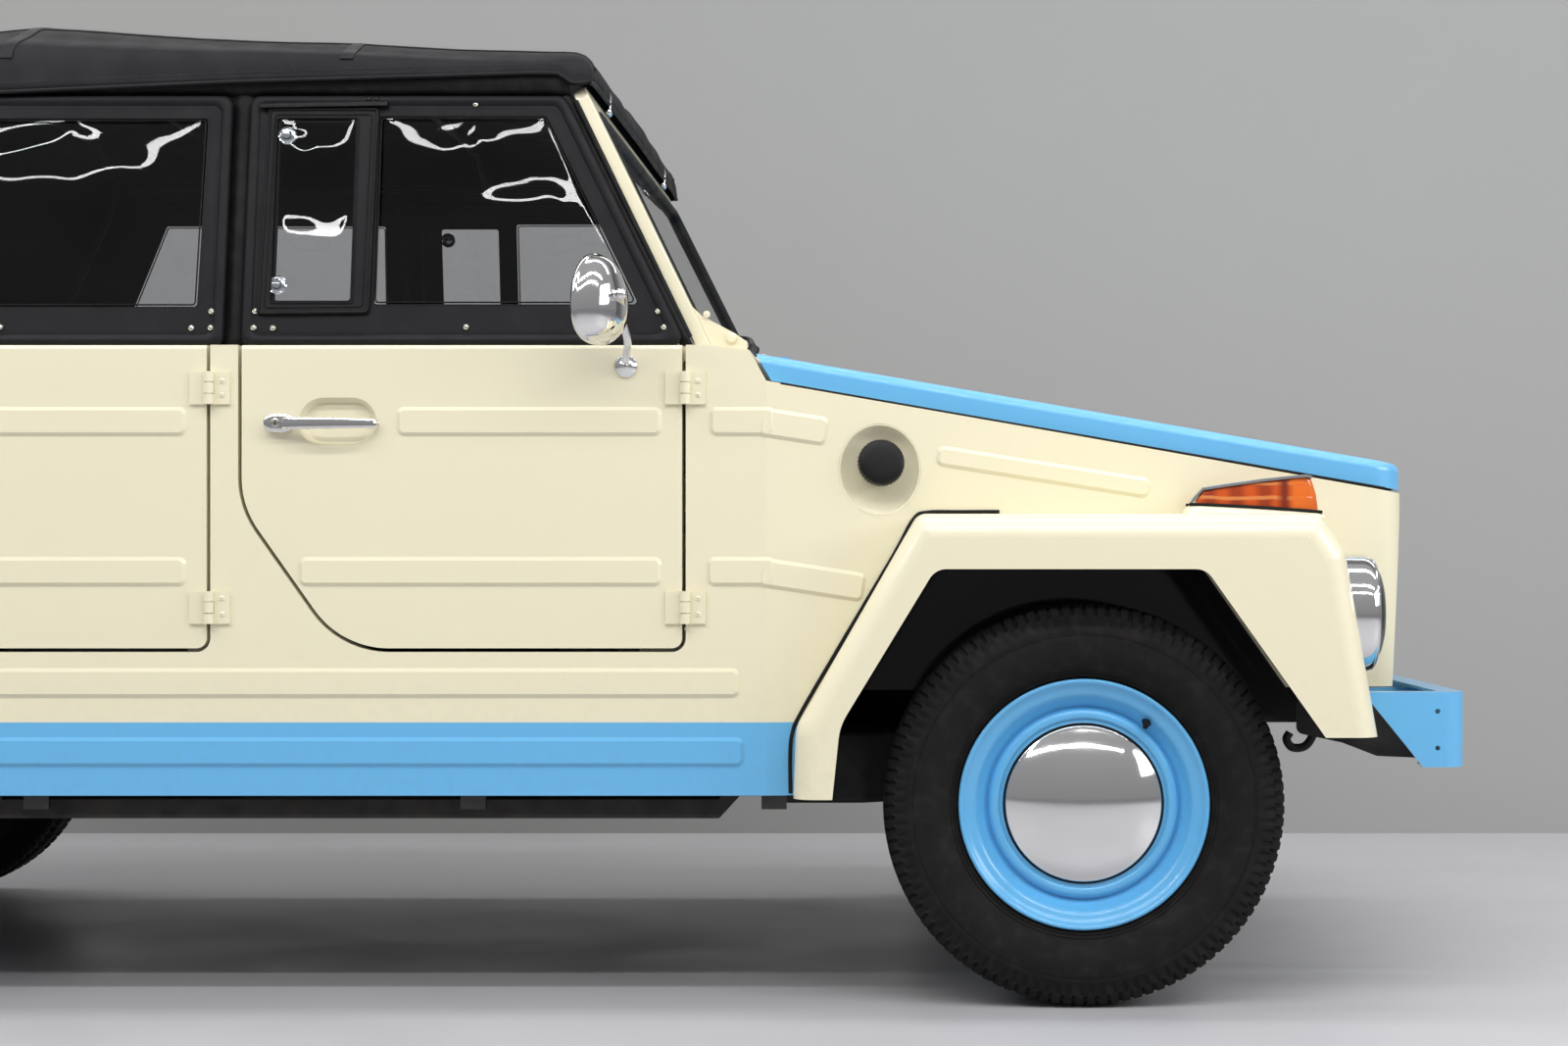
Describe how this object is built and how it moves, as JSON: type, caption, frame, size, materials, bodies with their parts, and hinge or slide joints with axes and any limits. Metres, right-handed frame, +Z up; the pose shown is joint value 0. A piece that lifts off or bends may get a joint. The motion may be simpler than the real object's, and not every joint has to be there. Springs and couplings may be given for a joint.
{
  "type": "open-top utility car",
  "caption": "Four-door utility car with flat ribbed panels, raised soft top, side curtains, opening doors, hood and engine lid, steering and rolling wheels.",
  "frame": {"origin": "on the ground, half way along the car, on its centre plane", "axes": "+X towards the front of the car, +Y to its left, +Z up"},
  "size_m": [3.78, 1.782, 1.6218],
  "materials": {
    "cream_paint": "semi-gloss",
    "blue_paint": "gloss",
    "blue_wheel_paint": "gloss",
    "black_vinyl": "grained vinyl-coated cloth",
    "clear_vinyl": "flexible clear film",
    "clear_glass": "clear",
    "chrome": "polished",
    "amber_lens": "moulded amber lens",
    "red_lens": "moulded red lens",
    "tyre_rubber": "matte",
    "black_steel": "satin",
    "underbody_black": "matte sealer",
    "dark_steel": "heat-stained",
    "engine_metal": "cast",
    "seat_vinyl": "grained vinyl",
    "black_plastic": "satin"
  },
  "bodies": {
    "body": {"floor_pan": "underbody_black", "side_panel_right": "cream_paint", "side_panel_left": "cream_paint", "front_body": "cream_paint", "rear_body": "cream_paint", "cowl_panel": "cream_paint", "dashboard": "cream_paint", "windshield_frame": "cream_paint", "windshield_glass": "clear_glass", "front_fenders": "cream_paint", "rear_fenders": "cream_paint", "headlights": "chrome", "turn_signals": "amber_lens", "tail_lights": "red_lens", "front_bumper": "blue_paint", "rear_bumper": "blue_paint", "soft_top": "black_vinyl", "rear_window": "clear_vinyl", "top_bows": "black_steel", "front_seats": "seat_vinyl", "rear_seat": "seat_vinyl", "steering_column": "black_steel", "front_axle": "black_steel", "rear_axle": "black_steel", "engine": "engine_metal", "muffler": "dark_steel"},
    "hood": {"hood": "blue_paint"},
    "engine_lid": {"engine_lid": "cream_paint"},
    "steering_wheel": {"steering_wheel": "black_plastic"},
    "knuckle_right": {"knuckle_right": "black_steel"},
    "knuckle_left": {"knuckle_left": "black_steel"},
    "front_door_right": {"front_door_right": "cream_paint", "front_door_handle_right": "chrome", "front_curtain_right": "black_vinyl", "front_curtain_window_right": "clear_vinyl", "mirror_right": "chrome"},
    "front_wheel_right": {"front_wheel_right": "blue_wheel_paint", "front_tyre_right": "tyre_rubber"},
    "front_door_left": {"front_door_left": "cream_paint", "front_door_handle_left": "chrome", "front_curtain_left": "black_vinyl", "front_curtain_window_left": "clear_vinyl", "mirror_left": "chrome"},
    "front_wheel_left": {"front_wheel_left": "blue_wheel_paint", "front_tyre_left": "tyre_rubber"},
    "rear_door_right": {"rear_door_right": "cream_paint", "rear_door_handle_right": "chrome", "rear_curtain_right": "black_vinyl", "rear_curtain_window_right": "clear_vinyl"},
    "rear_wheel_right": {"rear_wheel_right": "blue_wheel_paint", "rear_tyre_right": "tyre_rubber"},
    "rear_door_left": {"rear_door_left": "cream_paint", "rear_door_handle_left": "chrome", "rear_curtain_left": "black_vinyl", "rear_curtain_window_left": "clear_vinyl"},
    "rear_wheel_left": {"rear_wheel_left": "blue_wheel_paint", "rear_tyre_left": "tyre_rubber"}
  },
  "joints": [
    {"name": "steering", "type": "hinge", "parent": "body", "child": "steering_wheel", "pos_m": [0.31, 0.35, 0.95], "axis": [-0.8192, 0, 0.5736], "range_deg": [-468, 468]},
    {"name": "knuckle_right_steer", "type": "hinge", "parent": "body", "child": "knuckle_right", "pos_m": [1.284, -0.61, 0.3225], "axis": [0, 0, 1], "range_deg": [-30, 30]},
    {"name": "knuckle_left_steer", "type": "hinge", "parent": "body", "child": "knuckle_left", "pos_m": [1.284, 0.61, 0.3225], "axis": [0, 0, 1], "range_deg": [-30, 30]},
    {"name": "front_wheel_right_spin", "type": "hinge", "parent": "knuckle_right", "child": "front_wheel_right", "pos_m": [1.284, -0.677, 0.3225], "axis": [0, 1, 0], "continuous": true},
    {"name": "rear_wheel_right_spin", "type": "hinge", "parent": "body", "child": "rear_wheel_right", "pos_m": [-1.116, -0.723, 0.3225], "axis": [0, 1, 0], "continuous": true},
    {"name": "front_wheel_left_spin", "type": "hinge", "parent": "knuckle_left", "child": "front_wheel_left", "pos_m": [1.284, 0.677, 0.3225], "axis": [0, 1, 0], "continuous": true},
    {"name": "rear_wheel_left_spin", "type": "hinge", "parent": "body", "child": "rear_wheel_left", "pos_m": [-1.116, 0.723, 0.3225], "axis": [0, 1, 0], "continuous": true},
    {"name": "front_door_right_hinge", "type": "hinge", "parent": "body", "child": "front_door_right", "pos_m": [0.65, -0.745, 0.8], "axis": [0, 0, 1], "range_deg": [0, 70]},
    {"name": "front_door_left_hinge", "type": "hinge", "parent": "body", "child": "front_door_left", "pos_m": [0.65, 0.745, 0.8], "axis": [0, 0, -1], "range_deg": [0, 70]},
    {"name": "rear_door_right_hinge", "type": "hinge", "parent": "body", "child": "rear_door_right", "pos_m": [-0.107, -0.745, 0.8], "axis": [0, 0, 1], "range_deg": [0, 70]},
    {"name": "rear_door_left_hinge", "type": "hinge", "parent": "body", "child": "rear_door_left", "pos_m": [-0.107, 0.745, 0.8], "axis": [0, 0, -1], "range_deg": [0, 70]},
    {"name": "hood_hinge", "type": "hinge", "parent": "body", "child": "hood", "pos_m": [0.755, 0, 1.053], "axis": [0, -1, 0], "range_deg": [0, 60]},
    {"name": "engine_lid_hinge", "type": "hinge", "parent": "body", "child": "engine_lid", "pos_m": [-1.77113, 0, 0.87653], "axis": [0, 1, 0], "range_deg": [0, 70]}
  ],
  "couplings": [
    {"joint": "knuckle_right_steer", "follows": "steering", "ratio": 0.0641},
    {"joint": "knuckle_left_steer", "follows": "steering", "ratio": 0.0641}
  ]
}
